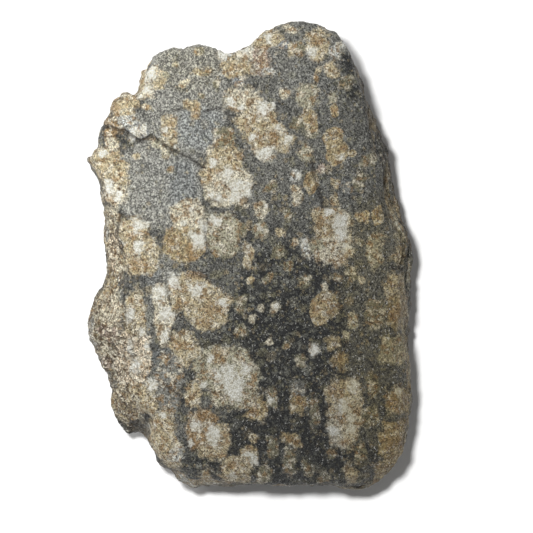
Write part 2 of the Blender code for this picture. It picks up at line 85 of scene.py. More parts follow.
clasts = [
    # left tip and upper left
    (85, 122, 146, 184), (98, 129, 156, 190), (99, 127, 180, 207, "cream"), (104, 122, 118, 143, "brown"),
    (110, 138, 92, 118), (115, 138, 114, 127, "greyWhite", 10), (129, 146, 123, 139, "blue"),
    (104, 118, 132, 150, "cream"), (142, 161, 70, 84, "cream"), (137, 156, 83, 99, "cream"),
    (152, 166, 70, 90), (118, 140, 88, 104), (161, 178, 115, 147), (188, 199, 98, 120, "tan", 25),
    (146, 178, 139, 150, "paleOlive", -28), (180, 190, 79, 87, "cream"), (194, 201, 69, 76),
    (203, 213, 66, 76, "olive"), (161, 170, 70, 79, "paleOlive"), (161, 171, 151, 160, "paleOlive"),
    (168, 175, 167, 174, "olive"), (173, 180, 60, 67, "paleOlive"), (194, 204, 50, 58, "olive"),
    (213, 221, 80, 90, "olive"), (196, 206, 92, 99, "olive"), (143, 152, 104, 111), (133, 141, 152, 159),
    # top edge
    (217, 232, 47, 62, "greyWhite"), (220, 252, 58, 80), (234, 256, 44, 60, "cream"),
    (250, 281, 29, 50, "tan", 25), (250, 270, 42, 74, "pink"), (266, 283, 32, 47, "tan", 15),
    (283, 298, 26, 33, "cream", -8), (288, 298, 43, 57), (277, 288, 41, 50, "blue"),
    (306, 328, 31, 60, "tan", 8), (330, 340, 46, 59, "greyWhite"), (290, 306, 44, 58, "olive"),
    (325, 339, 63, 78), (314, 323, 64, 73), (311, 319, 73, 84, "brown"), (339, 349, 76, 90, "olive", -20),
    (281, 291, 87, 98, "cream"), (327, 337, 94, 103, "paleOlive"), (296, 318, 84, 110, "paleOlive", 20),
    (329, 340, 103, 116, "pebble"), (292, 305, 118, 128, "olive"), (232, 244, 78, 88, "blue"),
    (262, 276, 66, 76, "greyWhite"),
    # big clast right of the upper grey area
    (226, 263, 89, 117, "cream"), (236, 276, 104, 134), (243, 285, 118, 147), (250, 293, 130, 153),
    (253, 277, 143, 161, "cream"),
    # its neighbours to the right
    (302, 319, 110, 136, "pebble", 12), (306, 317, 131, 140, "paleOlive"),
    (323, 347, 125, 168, "pebble", 4), (300, 313, 144, 164, "paleOlive", 15),
    (347, 356, 147, 158, "pebble"), (290, 301, 169, 183, "greyWhite"), (304, 318, 173, 194, "pebble"),
    (315, 324, 165, 175, "pink"), (331, 341, 180, 190), (343, 352, 183, 194, "grey"),
    (329, 340, 193, 204), (290, 302, 186, 206, "cream"), (361, 372, 150, 168, "olive"),
    (352, 366, 172, 190, "olive", -20), (357, 367, 212, 223),
    # second big clast
    (200, 224, 158, 192), (207, 243, 144, 176), (204, 252, 166, 207, "cream"),
    (214, 236, 129, 146, "olive"),
    # middle row
    (171, 206, 200, 240, "cream"), (163, 206, 220, 264, "pebble"), (207, 241, 213, 258, "paleOlive"),
    (117, 150, 217, 246), (120, 158, 234, 278, "tan", -30), (253, 268, 201, 218, "cream"),
    (253, 269, 221, 240, "paleOlive"), (238, 248, 222, 235, "olive"), (242, 253, 242, 267, "tan", 14),
    (274, 283, 229, 237), (291, 298, 238, 246, "brown"), (271, 284, 247, 259, "olive"),
    (301, 311, 240, 258, "greyWhite"), (283, 292, 210, 222, "olive"), (266, 277, 182, 192, "olive"),
    # large clast right of the middle
    (312, 344, 205, 244), (323, 352, 207, 240, "cream"), (314, 351, 232, 267, "cream"),
    (312, 336, 236, 258, "paleOlive"),
    # right side, below the flank
    (370, 379, 206, 227, "pebble"), (380, 392, 202, 223, "olive"), (369, 382, 231, 270, "paleOlive"),
    (353, 364, 238, 247, "olive"), (388, 406, 247, 267), (398, 413, 271, 291, "greyWhite"),
    (384, 404, 272, 300), (385, 412, 289, 331, "gold"), (399, 408, 329, 338, "blue"),
    (379, 410, 335, 366, "paleOlive"), (357, 367, 276, 286, "cream"), (384, 411, 386, 415, "gold"),
    (378, 411, 420, 466, "gold"), (371, 392, 456, 482, "tan", -20), (354, 367, 441, 464, "olive"),
    (345, 354, 464, 487), (366, 380, 374, 398, "olive"), (362, 376, 405, 426, "olive"),
    (390, 408, 222, 246, "olive"), (366, 384, 300, 330, "olive"), (345, 357, 268, 284, "olive"),
    # lower left of the middle
    (169, 212, 274, 313, "tan", -18), (184, 230, 284, 330, "tan", -15), (215, 229, 298, 309, "cream"),
    (154, 172, 283, 345, "cream", 3), (124, 147, 290, 345), (112, 152, 330, 388, "paleTan"),
    (112, 148, 376, 420), (136, 158, 384, 416), (172, 197, 330, 366, "tan", 20),
    (155, 183, 350, 410, "grey"), (88, 124, 290, 330, "cream"), (92, 120, 318, 346, "pink"),
    (104, 121, 228, 290, "paleTan"), (102, 119, 203, 234, "cream"), (100, 116, 345, 375, "pink"),
    # large pale clast of the lower middle
    (194, 250, 345, 392, "paleOlive"), (208, 259, 352, 409, "paleOlive"), (186, 202, 380, 408),
    (247, 268, 396, 422, "gold"), (266, 278, 388, 410, "olive"), (292, 306, 382, 399, "grey"),
    (290, 307, 395, 414, "gold"), (308, 320, 398, 428, "olive"),
    # gold clast, and small ones round it
    (309, 330, 293, 327, "pebble"), (320, 340, 293, 317, "gold"), (346, 359, 314, 330, "paleOlive"),
    (325, 339, 336, 351, "gold"), (331, 348, 351, 370, "gold"), (294, 307, 353, 367, "olive"),
    (308, 319, 344, 357, "greyWhite"), (265, 273, 335, 345, "paleOlive"), (282, 290, 341, 351, "olive"),
    (269, 279, 303, 315, "cream"), (256, 263, 305, 312, "cream"), (244, 253, 274, 284, "pebble"),
    (263, 274, 274, 282, "olive"), (299, 310, 274, 290, "olive"), (322, 330, 284, 292, "cream"),
    (234, 246, 296, 310, "olive"), (248, 257, 314, 322, "cream"), (236, 246, 322, 338, "olive"),
    (342, 350, 332, 343, "paleOlive"), (284, 292, 262, 271, "olive"), (332, 342, 274, 284, "olive"),
    # large clast of the lower right
    (326, 358, 377, 422), (328, 361, 396, 448, "cream"), (344, 362, 377, 412, "cream"),
    # bottom row
    (186, 222, 411, 450, "brown"), (196, 229, 420, 459), (150, 177, 409, 460, "tan", 8),
    (158, 182, 454, 478, "tan", -30), (169, 182, 445, 459, "greyWhite"), (221, 252, 452, 487),
    (242, 256, 443, 464, "gold"), (197, 216, 468, 488), (283, 300, 432, 446, "gold"),
    (284, 298, 447, 473, "olive"), (267, 279, 440, 456, "olive"), (250, 258, 433, 442),
    (263, 272, 433, 442, "olive"), (327, 335, 448, 458, "olive"), (304, 314, 462, 474, "olive"),
    (318, 330, 468, 480, "olive"), (256, 270, 462, 478, "olive"), (122, 140, 404, 420, "brown"),
]

# White felspar inside the clasts, and where it stands alone.

whites = [
    (218, 230, 49, 60), (236, 252, 48, 56), (265, 271, 32, 44), (246, 254, 42, 50), (144, 159, 70, 84),
    (137, 148, 84, 98), (146, 153, 88, 96), (130, 136, 127, 139), (138, 145, 124, 137),
    (103, 113, 180, 196), (112, 121, 190, 203), (100, 108, 150, 156), (163, 169, 127, 134),
    (255, 269, 101, 118), (271, 275, 101, 108), (276, 283, 124, 130), (281, 292, 135, 147),
    (258, 276, 148, 160), (248, 257, 134, 142), (238, 246, 104, 111), (225, 235, 98, 108),
    (209, 218, 157, 167), (219, 232, 168, 181), (228, 250, 181, 192), (229, 243, 189, 204),
    (208, 217, 190, 197), (216, 225, 193, 203), (244, 252, 186, 200), (188, 194, 208, 216),
    (190, 206, 231, 250), (199, 207, 221, 238), (180, 187, 219, 226), (132, 147, 217, 231),
    (133, 146, 242, 252), (210, 222, 217, 228), (190, 206, 284, 296), (170, 180, 273, 289),
    (216, 228, 300, 308), (155, 168, 286, 298), (158, 172, 305, 321), (159, 170, 329, 341),
    (112, 119, 346, 357), (129, 135, 341, 356), (144, 151, 342, 352), (119, 123, 286, 304),
    (128, 136, 306, 326), (138, 146, 326, 338), (219, 238, 366, 384), (224, 244, 378, 402),
    (201, 208, 382, 390), (208, 214, 354, 362), (332, 347, 214, 233), (325, 334, 207, 216),
    (341, 350, 243, 253), (300, 308, 240, 248), (307, 316, 46, 57), (338, 343, 152, 161),
    (310, 318, 346, 356), (334, 349, 228, 240), (212, 222, 370, 382), (240, 250, 364, 376),
    (348, 358, 378, 393), (336, 350, 399, 412), (347, 355, 411, 422), (329, 338, 424, 438),
    (346, 356, 424, 436), (191, 202, 420, 430), (206, 220, 426, 446), (186, 194, 438, 448),
    (245, 253, 451, 458), (249, 257, 455, 463), (230, 236, 468, 476), (240, 248, 474, 482),
    (205, 211, 478, 485), (400, 412, 273, 290), (394, 402, 388, 394), (262, 267, 205, 210),
    (269, 274, 396, 406), (273, 278, 303, 309), (114, 124, 240, 249), (110, 117, 384, 390),
    (148, 156, 380, 392), (130, 140, 360, 372), (120, 128, 366, 376), (171, 176, 146, 150),
    (296, 302, 172, 179), (334, 339, 182, 187), (255, 262, 224, 232), (244, 249, 246, 253),
    (160, 166, 412, 420), (150, 156, 424, 436), (94, 99, 334, 341), (118, 126, 396, 404),
]

# Rust and dark brown patches.

rusts = [
    (112, 122, 98, 116), (107, 115, 194, 208), (190, 199, 102, 120), (168, 176, 120, 130),
    (228, 250, 62, 72), (255, 268, 54, 66), (310, 322, 34, 48), (268, 278, 126, 146),
    (244, 252, 122, 132), (252, 260, 132, 142), (206, 214, 162, 176), (234, 244, 150, 162),
    (164, 174, 237, 248), (180, 196, 206, 216), (184, 194, 240, 262), (127, 141, 228, 240),
    (128, 146, 255, 275), (182, 206, 270, 282), (176, 192, 284, 294), (198, 226, 302, 316),
    (162, 168, 299, 305), (196, 214, 316, 328), (192, 214, 411, 424), (185, 200, 434, 452),
    (220, 226, 382, 389), (228, 235, 391, 397), (211, 226, 346, 366), (208, 214, 402, 409),
    (328, 334, 227, 236), (315, 326, 214, 232), (337, 349, 254, 264), (394, 403, 250, 258),
    (399, 411, 289, 301), (386, 400, 304, 322), (328, 341, 383, 400), (335, 351, 411, 424),
    (352, 362, 402, 418), (338, 352, 436, 446), (293, 304, 396, 406), (403, 411, 413, 426),
    (385, 396, 396, 408), (384, 400, 432, 448), (283, 297, 434, 443), (312, 318, 74, 82),
    (330, 340, 128, 142), (306, 315, 114, 126), (310, 322, 298, 316), (333, 345, 354, 366),
    (244, 252, 444, 452), (226, 240, 458, 468), (160, 172, 458, 472), (92, 104, 296, 314),
    (112, 122, 268, 284), (150, 160, 418, 428), (118, 134, 402, 416), (116, 126, 358, 368),
    (248, 258, 402, 416), (172, 184, 336, 352),
]

# Soft areas of the ground mass: left, right, top, bottom and strength, which lightens or (below 0) darkens.
# A few of the darkening ones are painted shade, noted below.

paleAreas = [
    (150, 226, 40, 150, 1.0), (120, 200, 140, 226, 1.0), (166, 216, 100, 160, 0.3),
    (120, 160, 112, 140, 0.6), (144, 172, 250, 290, 0.45), (140, 156, 285, 350, 0.30),
    (150, 190, 344, 390, 0.2), (224, 300, 56, 100, 0.2), (255, 345, 20, 60, 0.30),
    (280, 330, 60, 110, 0.15), (165, 195, 410, 480, 0.2), (340, 410, 90, 300, 0.18),
    (228, 345, 250, 480, -0.25), (225, 350, 40, 225, 0.18), (345, 412, 300, 480, 0.04),
    (205, 250, 255, 345, -0.10), (222, 290, 405, 470, -0.25), (340, 362, 56, 96, -0.16),
    (245, 345, 300, 372, -0.15), (88, 124, 300, 345, 0.3), (290, 332, 120, 170, 0.05),
    # (104, 150, 127, 143) darkens the hollow under the ledge of the upper left: painted shadow.
    (236, 256, 68, 92, -0.1), (104, 150, 127, 143, -0.25), (118, 154, 414, 436, -0.9),
    (150, 245, 200, 350, 0.12), (176, 200, 380, 420, -0.1), (140, 195, 150, 200, -0.06),
    (168, 197, 162, 208, -0.40), (228, 282, 372, 416, -0.20), (150, 400, 440, 490, -0.20),
    (150, 230, 300, 400, -0.10), (235, 300, 252, 300, 0.08), (250, 305, 155, 195, 0.14),
    (112, 134, 208, 226, -0.05), (240, 282, 386, 420, -0.20), (230, 345, 400, 480, -0.24),
    # From (341, 351, 42, 70) on, the last six darken a band along the right rim: painted shade where the
    # face turns down to the flank.
    (165, 240, 440, 490, -0.12), (215, 300, 78, 104, -0.12), (341, 351, 42, 70, -0.32),
    (349, 360, 64, 92, -0.36), (356, 368, 86, 116, -0.36), (363, 378, 110, 142, -0.36),
    (372, 387, 134, 168, -0.34), (380, 394, 160, 204, -0.26),
]

# Areas of a bluish tone, or (below 0) of an olive brown one.

coolAreas = [
    (176, 226, 106, 150, 0.65), (140, 200, 150, 215, 0.25), (168, 197, 162, 208, 0.45),
    (150, 182, 344, 380, 0.8), (255, 290, 90, 130, 0.2), (340, 356, 178, 198, 0.8),
    (285, 345, 60, 110, 0.3), (140, 160, 250, 290, 0.6), (300, 330, 180, 210, 0.3),
    (158, 222, 45, 92, -0.35), (338, 420, 190, 500, -0.7), (370, 420, 330, 500, -0.5),
    (300, 400, 470, 500, -0.4), (90, 126, 205, 345, -0.25),
]

# Cracks: half width and depth in tenths of a millimetre, then their points on the face map. Some of their
# dark lines are painted shade, noted below.

cracks = [
    # The first two follow the foot of the ledge on the upper left: their dark line is partly a real crack
    # and partly painted shadow cast by the raised block above it.
    (1.3, 2.2, [(105, 127), (116, 130), (127, 133), (134, 138), (141, 142), (147, 138), (152, 136)]),
    (0.8, 2.4, [(152, 136), (158, 141), (168, 149), (176, 152), (186, 156), (196, 163), (204, 168)]),
    (0.6, 1.8, [(174, 111), (182, 109), (190, 109)]),
    (0.6, 1.8, [(205, 112), (213, 109), (222, 109), (228, 114), (233, 124)]),
    (0.7, 1.4, [(201, 206), (206, 202), (213, 200), (219, 203)]),
    (0.6, 1.2, [(252, 190), (256, 186), (260, 183)]),
    (0.7, 0.9, [(205, 208), (204, 224), (206, 240), (208, 258)]),
    (0.7, 2.2, [(311, 161), (312, 168), (314, 177)]),
    (0.6, 1.7, [(314, 177), (317, 184), (319, 192), (322, 205)]),
    (0.7, 1.2, [(322, 206), (330, 208)]),
    (1.2, 1.8, [(390, 268), (398, 270), (405, 272), (412, 270)]),
    (0.8, 1.5, [(388, 388), (396, 386), (403, 388), (410, 392)]),
    (1.0, 1.8, [(352, 485), (362, 485), (372, 484), (382, 481)]),
    (1.0, 2.0, [(164, 384), (170, 388), (176, 392), (181, 396)]),
    (0.8, 1.8, [(103, 199), (108, 205), (114, 209), (121, 214), (127, 217)]),
    (0.6, 1.4, [(127, 217), (138, 217), (150, 220)]),
    (1.3, 1.6, [(121, 216), (118, 226), (116, 238), (121, 247), (124, 256)]),
    (0.8, 1.2, [(114, 342), (120, 340), (126, 338)]),
    (0.8, 1.2, [(112, 344), (111, 356)]),
    (0.9, 1.2, [(128, 358), (133, 355), (139, 357)]),
    (0.7, 1.1, [(161, 234), (164, 246), (161, 256)]),
    (0.8, 1.2, [(147, 281), (152, 279), (160, 281), (167, 285)]),
    (1.0, 1.4, [(197, 346), (204, 345), (214, 344), (222, 341)]),
    (1.0, 1.4, [(122, 428), (132, 425), (142, 423), (152, 420)]),
    (0.7, 1.0, [(126, 290), (124, 304), (127, 318), (124, 332)]),
    (0.9, 1.3, [(166, 284), (168, 296), (172, 300)]),
    (0.7, 1.0, [(183, 50), (184, 60), (182, 68)]),
    (0.8, 1.0, [(216, 55), (218, 64), (222, 72)]),
    (0.9, 1.1, [(171, 340), (165, 346), (157, 350), (152, 347)]),
    (0.8, 1.1, [(404, 416), (398, 420), (390, 421)]),
    # The last two are thin dark lines along the right rim, carved only slightly: painted shade where the
    # face turns down to the flank.
    (0.5, 0.7, [(345, 58), (351, 76), (357, 92), (366, 116), (374, 136), (382, 158), (388, 184)]),
    (0.5, 0.5, [(354, 96), (362, 120), (371, 146), (379, 170), (385, 196), (389, 214)]),
]

print("stage 2: face map ready,", len(clasts), "clasts")


# What can be changed on the stone, in millimetres. A zone is given by pairs of numbers, one pair for
# each measure it goes by: where it starts, and where it has come in fully.

stoneValues = {
    # blank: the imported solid, rounded and evenly meshed
    "smoothings": 2,  # passes that take the solid's facets off
    "pointGap": 0.34,  # between points after the remesh
    "splitAbove": -0.05,  # faces that look up more than this are split once more
    # worn face, as in the solid
    "faceTop": 13.0,
    "faceHalf": (16.2, 23.35),
    "faceCrown": 0.35,  # how far its rim lies below its middle
    "rightDip": (11.5, 0.075),  # where it starts to drop, and how fast
    "nearDip": (-16.0, 0.035),
    "onFace": (0.35, 0.75, 2.2, 1.0),  # how much a point looks up, and its depth
    # patches of the face map: how square their corners are, and the steepness of the small ones
    "patchShape": (2.5, 0.95),
    "pebbleShape": (2.0, 4.0),
    "spotShape": (2.5, 0.8),
    "paleShape": (3.0, 0.0),
    "coolShape": (2.5, 0.0),
    "warpSize": 1.4,  # how their edges wander
    "warpReach": 0.42,
    "warpSeeds": (3.1, 17.7, 31.3),
    "narrowBelow": 0.4,  # down the side they narrow from here
    "narrowing": 1.5,  # and end at this many times their own radius
    "leftDepth": 7.0,  # but those of the rough left side go this far down
    "rightDepth": 3.2,  # and those of the right edge
    "leftLine": 156,  # on the face map: left of this and below tipLine is the left side,
    "tipLine": 205,
    "rightLine": 402,  # and right of this is the right edge
    "groundPaleness": 0.22,  # where no pale area lies
    "paleBlend": 0.45,
    "coolBlend": 0.6,
    # clasts strewn over the flanks and the underside
    "buriedClasts": 420,
    "buriedSizes": (0.35, 1.9),
    "buriedSkew": 2.2,  # the higher, the more small ones
    "buriedStretch": 0.5,
    "buriedBelow": 1.6,
    "buriedFade": (2.2, 0.8),  # depths over which they give way to those of the face
    "buriedKinds": ("tan", "cream", "paleOlive", "brown", "olive", "greyWhite", "gold", "tan", "grey"),
    "seed": 11,
    # cracks
    "crackWander": 0.12,
    "crackDepth": 2.5,  # they fade out below this
    "crackTone": (0.12, 0.28),  # darkness of the shallowest, and what a tenth of depth adds
    "crackDarkest": 0.95,
    "crackEdge": 0.13,  # soft edge outside the half width
    "crackCore": (0.06, 0.03),  # the dark core: its share of the half width, and what is added
    "carveEdge": 0.14,
    # weathered skin of the flanks, and the broken left side
    "skinUp": (0.62, 0.15),  # how much a point looks up
    "leftSide": (-11.0, -13.0),
    "skinFlank": (9.0, 11.0, 0.0, 3.0),
    "skinEdge": (12.0, 14.0, 3.0, 0.0),
    "skinDepths": (2.0, -1.6, 2.0),  # where it starts, and what the far and the near right side add
    "skinFade": 1.4,
    "skinLeftLoss": 0.7,
    "lobe": (-9.2, -12.0, -3.0, -8.5),  # the rough lower left
    "brokenUp": (0.9, 0.5),
    # relief of the worn face: the bumps' height, size and seed
    "grain": (0.038, 0.34, 5.0),
    "dimple": (0.05, 1.3, 9.0),
    "clastStand": 0.035,  # how far the clasts stand out
    "standEdge": (-0.1, 0.15),
    # relief of the flanks
    "lump": (0.30, 1.9, 21.0),
    "lumpSink": 0.1,
    "grit": (0.16, 0.75, 27.0),
    "crumb": (0.10, 0.38, 33.0),
    "leftGrit": 0.9,  # share of grit and crumbs that the left side keeps
    "gritLeft": (-9.5, -12.0),
    "rightSmooth": 0.65,  # share of the lumps that the right flank goes without
    "lobeRough": 0.8,  # how rough the lower left of the face is beside the flanks
    "chipSizes": (1.7, 0.95),  # facets of the broken left side
    "chipHeights": (0.34, 0.15),
    "chipRise": (0.6, 1.1),  # how much of the height is a facet's own, and how much its tilt
    "chipCreases": (0.13, 0.06),
    "chipped": (-9.0, -12.0, 9.0, 4.0),
    "chipDeep": (9.0, 4.0),
    "chipLowest": 0.4,
    "creaseWidth": 0.22,
    "streakPitch": 0.55,  # level ridges, this far apart
    "streakHeight": 0.09,
    "streakRight": (10.0, 13.0, -6.0, 0.0),
    "streakLeft": (-10.0, -12.5, 7.0, 4.0),
    "swell": 0.10,  # makes up for what smoothing takes off the sides
    "aboveFloor": (0.0, 0.7),  # heights over which the relief comes in above the floor
    # the rim of the worn face, brought out to the edge
    "farReach": 0.20,
    "nearReach": 0.38,
    "rightReach": 0.50,
    "flankTuck": 0.28,  # how far the far flank under it is drawn in
    "bent": (0.985, 0.80),  # how much a point of the rim looks up
    "rim": (4.0, 1.5),  # depths
    "rightRim": (4.5, 1.0),
    "tuck": (0.8, 3.0),
    "farSide": (0.3, 0.8),  # how much a point looks to the far side
    "nearEnd": (-17.0, -20.0),
    "nearRight": (13.0, 14.5, 3.0, 0.0),
    "rightFlank": (6.5, 9.0, 0.0, 3.0, 0.3, 0.7),
    "nudgeCore": 0.03,
    "nudgeDeep": (8.0, 4.0),
    # colours of the clasts
    "kinds": {
        "tan": paint(188, 175, 142),
        "pebble": paint(180, 165, 128),  # tan as well, with a clean edge
        "brown": paint(154, 132, 98),
        "gold": paint(170, 155, 118),
        "cream": paint(207, 200, 176),
        "olive": paint(134, 130, 106),
        "paleOlive": paint(172, 168, 144),
        "paleTan": paint(232, 217, 190),
        "greyWhite": paint(194, 195, 186),
        "grey": paint(132, 132, 124),
        "pink": paint(172, 157, 142),
        "blue": paint(144, 148, 148),
    },
    "pale": paint(217, 210, 188),
    "stain": paint(150, 124, 88),
    "fleck": paint(88, 74, 56),
    "pinHole": paint(72, 56, 40),
    "whitePatch": paint(247, 247, 238),
    "whiteShade": paint(208, 203, 184),
    "rust": paint(146, 114, 72),
    # colours of the ground mass and the rest
    "shadowGrey": paint(50, 51, 50),
    "midGrey": paint(146, 145, 137),
    "coolShift": (0.93, 0.99, 1.09, 1.0),
    "warmShift": (1.05, 0.96, 0.72, 1.0),
    "paleHue": (0.99, 1.01, 1.09, 1.0),
    "warmHue": (1.01, 0.975, 0.90, 1.0),
    "speckOlive": paint(122, 118, 94),
    "speckGrey": paint(132, 132, 122),
    "speckTan": paint(156, 142, 112),
    "crackBrown": paint(40, 34, 30),
    # colour of the painted shade in the creases
    "creaseShadeBrown": paint(82, 66, 52),
    "skinDark": paint(58, 52, 46),
    "skinPale": paint(130, 118, 96),
    "skinCrumb": paint(168, 150, 116),
    # colour of the painted glints
    "glint": paint(245, 244, 238),
    # specks of the ground mass: spacing, share in dark and in pale ground, and strength
    "specks": ((0.34, 0.66, 0.20, 0.62), (0.62, 0.56, 0.12, 0.52), (1.10, 0.36, 0.06, 0.5)),
    "grainFineness": 10.0,  # grains in a millimetre
    "grainRange": (0.13, 2.10),  # the darkest and the brightest grain of the dark ground mass
    "paleGrainRange": (0.32, 2.42),  # and of the pale one
    "clastGrainRange": (0.32, 1.74),
    # how the edges wander: scale of the noise, reach either way, shift, detail and roughness
    "paleDrift": (0.9, 0.17, 0.0, 4.0, 0.6),
    "clastDrift": (1.3, 0.52, 0.0, 5.0, 0.66),
    "rustDrift": (2.2, 0.45, 5.0, 5.0, 0.7),
    "whiteDrift": (2.0, 0.80, 9.0, 5.0, 0.7),
    "clastSpan": (-0.26, 0.28),
    "rustSpan": (-0.05, 0.40),
    "whiteSpan": (-0.30, 0.50),
    "rustCover": 0.46,
    "whiteCover": 0.96,
    "stainCover": 0.82,
    "bitCover": 0.76,
    "fleckCover": 0.78,
    "holeCover": 0.6,
    "ridgeHighlightCover": 0.70,
    "foldShadeCover": 0.56,
    "glintCover": 0.3,
    # painted shade: these three darken the tones towards the right and the near end
    "shadeFalloffAcross": (-0.021, 0.0105),  # how tones change to the right and upwards, for a millimetre
    "shadeFalloffMiddle": 0.835,
    "shadeFalloffLowest": 0.46,
    "roughness": (0.42, 0.80),
    "bumpMetres": 0.00010,
}

# Places on the face map where the edge stands out further: the place, its radius and how far.

edgeNudges = [
    (105, 370, 16, 6.5), (89, 339, 10, 3.0), (98, 290, 14, 4.5), (114, 102, 14, 4.0), (125, 93, 8, 5.0),
    (142, 72, 6, 2.5), (390, 160, 28, 3.2), (395, 190, 22, 3.2), (150, 442, 12, 4.0), (122, 428, 12, 4.0),
    (189, 477, 18, 6.0),
]


def zone(name, *measures):  # 1 where every measure is past its own end of the zone, 0 outside
    ends = stoneValues[name]
    share = 1.0
    for start, end, measure in zip(ends[::2], ends[1::2], measures):
        share = share * ease(start, end, measure)
    return share


def stoneBlank():
    bm = bmesh.new()
    bm.from_mesh(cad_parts["meteorite"].data)
    bmesh.ops.remove_doubles(bm, verts=bm.verts, dist=1e-6)
    bmesh.ops.scale(bm, vec=(perMetre, perMetre, perMetre), verts=bm.verts)
    blankMesh = bpy.data.meshes.new("blank")
    bm.to_mesh(blankMesh)
    bm.free()
    blank = addObject("blank", blankMesh)
    even = blank.modifiers.new("even", "REMESH")
    even.mode = "VOXEL"
    even.voxel_size = stoneValues["pointGap"]
    solid = blank.evaluated_get(bpy.context.evaluated_depsgraph_get())
    mesh = bpy.data.meshes.new_from_object(solid)
    bpy.data.objects.remove(blank)
    bm = bmesh.new()
    bm.from_mesh(mesh)
    allAxes = {"use_axis_x": True, "use_axis_y": True, "use_axis_z": True}
    for _ in range(stoneValues["smoothings"]):
        bmesh.ops.smooth_vert(bm, verts=bm.verts, factor=0.5, **allAxes)
    bm.normal_update()
    above = stoneValues["splitAbove"]
    topEdges = [edge for edge in bm.edges if any(face.normal.z > above for face in edge.link_faces)]
    bmesh.ops.subdivide_edges(bm, edges=topEdges, cuts=1, use_grid_fill=True)
    bm.to_mesh(mesh)
    bm.free()
    mesh.materials.clear()
    mesh.name = "stone"
    return mesh


def readPoints(mesh):
    points = np.empty(len(mesh.vertices) * 3)
    normals = np.empty(len(mesh.vertices) * 3)
    mesh.vertices.foreach_get("co", points)
    mesh.vertices.foreach_get("normal", normals)
    return points.reshape(-1, 3), normals.reshape(-1, 3)


def depthBelowFace(points):
    x, y, z = points.T
    halfWide, halfLong = stoneValues["faceHalf"]
    rightFrom, rightDip = stoneValues["rightDip"]
    nearFrom, nearDip = stoneValues["nearDip"]
    top = stoneValues["faceTop"] - stoneValues["faceCrown"] * ((x / halfWide) ** 2 + (y / halfLong) ** 2)
    top -= rightDip * np.maximum(x - rightFrom, 0.0) ** 2 + nearDip * np.maximum(nearFrom - y, 0.0) ** 2
    return top - z


# How far inside a patch of the face map each point lies. Patches smaller than least count as that steep.
def boxDistance(points, depth, box, shape, turn=0.0, reach=None):
    left, right, top, bottom = box
    corner, least = shape
    x, y = fromMap((left + right) / 2.0, (top + bottom) / 2.0)
    wide, high = (right - left) * mapUnit / 2.0, (bottom - top) * mapUnit / 2.0
    turned = math.radians(turn)
    across, up = points[:, 0] - x, points[:, 1] - y
    u = (across * math.cos(turned) + up * math.sin(turned)) / wide
    v = (up * math.cos(turned) - across * math.sin(turned)) / high
    middle = math.sqrt(wide * high)
    reach = reach or middle * stoneValues["narrowing"]
    w = np.maximum(depth - stoneValues["narrowBelow"], 0.0) / reach
    inside = 1.0 - (np.abs(u) ** corner + np.abs(v) ** corner + w ** corner) ** (1.0 / corner)
    return inside * max(middle, least)


def lineDistance(points, line):
    places = [Vector(fromMap(*place)) for place in line]
    nearest = np.full(len(points), np.inf)
    for start, end in zip(places, places[1:]):
        along = np.array(end - start)
        gap = points[:, :2] - np.array(start)
        share = np.clip(gap @ along / (along @ along), 0.0, 1.0)
        nearest = np.minimum(nearest, np.linalg.norm(gap - share[:, None] * along, axis=1))
    return nearest


# Broken rock: facets of one size, as a rise between -1 and 1, and the creases between them, 0 to 1.
def chips(points, where, size, seed):
    rise = np.zeros(len(points))
    crease = np.zeros(len(points))
    whole, tilted = stoneValues["chipRise"]
    for index in np.flatnonzero(where > 0.0):
        place = Vector(points[index]) / size + Vector((seed, seed, seed))
        gaps, middles = noise.voronoi(place)
        tilt = noise.noise_vector(middles[0] * 3.1)
        rise[index] = whole * noise.noise(middles[0] * 5.7) + tilted * tilt.dot(place - middles[0])
        crease[index] = max(0.0, 1.0 - (gaps[1] - gaps[0]) / stoneValues["creaseWidth"])
    return rise * where, crease * where


# How far down the side a patch is carried. None leaves it to the patch's own size.
def sideReach(box, onLeft=True):
    _, right, top, _ = box
    if onLeft and right < stoneValues["leftLine"] and top > stoneValues["tipLine"]:
        return stoneValues["leftDepth"]
    return stoneValues["rightDepth"] if right > stoneValues["rightLine"] else None


# The clasts of the face: how far inside one each point lies, and its tint.
def faceClasts(warped, depth):
    kinds = stoneValues["kinds"]
    edge = np.full(len(warped), -1.5)
    tint = np.tile(np.array(kinds["grey"]), (len(warped), 1))
    for clast in clasts:
        box, more = clast[:4], clast[4:]
        kind = more[0] if more else "tan"
        turn = more[1] if len(more) > 1 else 0.0
        shape = stoneValues["pebbleShape" if kind == "pebble" else "patchShape"]
        found = boxDistance(warped, depth, box, shape, turn, sideReach(box))
        nearer = found > edge
        edge[nearer] = found[nearer]
        tint[nearer] = kinds[kind]
    return edge, tint


# Adds the clasts that are strewn over the flanks and the underside.
def buryClasts(points, warped, depth, edge, tint):
    kinds, names = stoneValues["kinds"], stoneValues["buriedKinds"]
    small, large = stoneValues["buriedSizes"]
    random = np.random.RandomState(stoneValues["seed"])
    low = np.flatnonzero(depth > stoneValues["buriedBelow"])
    for _ in range(stoneValues["buriedClasts"]):
        middle = points[random.choice(low)]
        size = small + (large - small) * random.rand() ** stoneValues["buriedSkew"]
        stretch = 1.0 + stoneValues["buriedStretch"] * (random.rand(3) - 0.5)
        kind = names[random.randint(len(names))]
        near = np.flatnonzero(np.abs(warped - middle).max(axis=1) < size * 2.0)
        found = (1.0 - np.linalg.norm((warped[near] - middle) / stretch, axis=1) / size) * size
        found -= zone("buriedFade", depth[near]) * 2.0
        nearer = found > edge[near]
        edge[near[nearer]] = found[nearer]
        tint[near[nearer]] = kinds[kind]


def spotField(spots, warped, depth):
    field = np.full(len(warped), -1.0)
    for box in spots:
        reach = sideReach(box, onLeft=False)
        field = np.maximum(field, boxDistance(warped, depth, box, stoneValues["spotShape"], reach=reach))
    return field


def areaField(areas, warped, name, start=0.0):
    field = np.full(len(warped), start)
    blend = stoneValues[name + "Blend"]
    for *box, strength in areas:
        field += strength * ease(-blend, blend, boxDistance(warped, 0.0, box, stoneValues[name + "Shape"]))
    return field


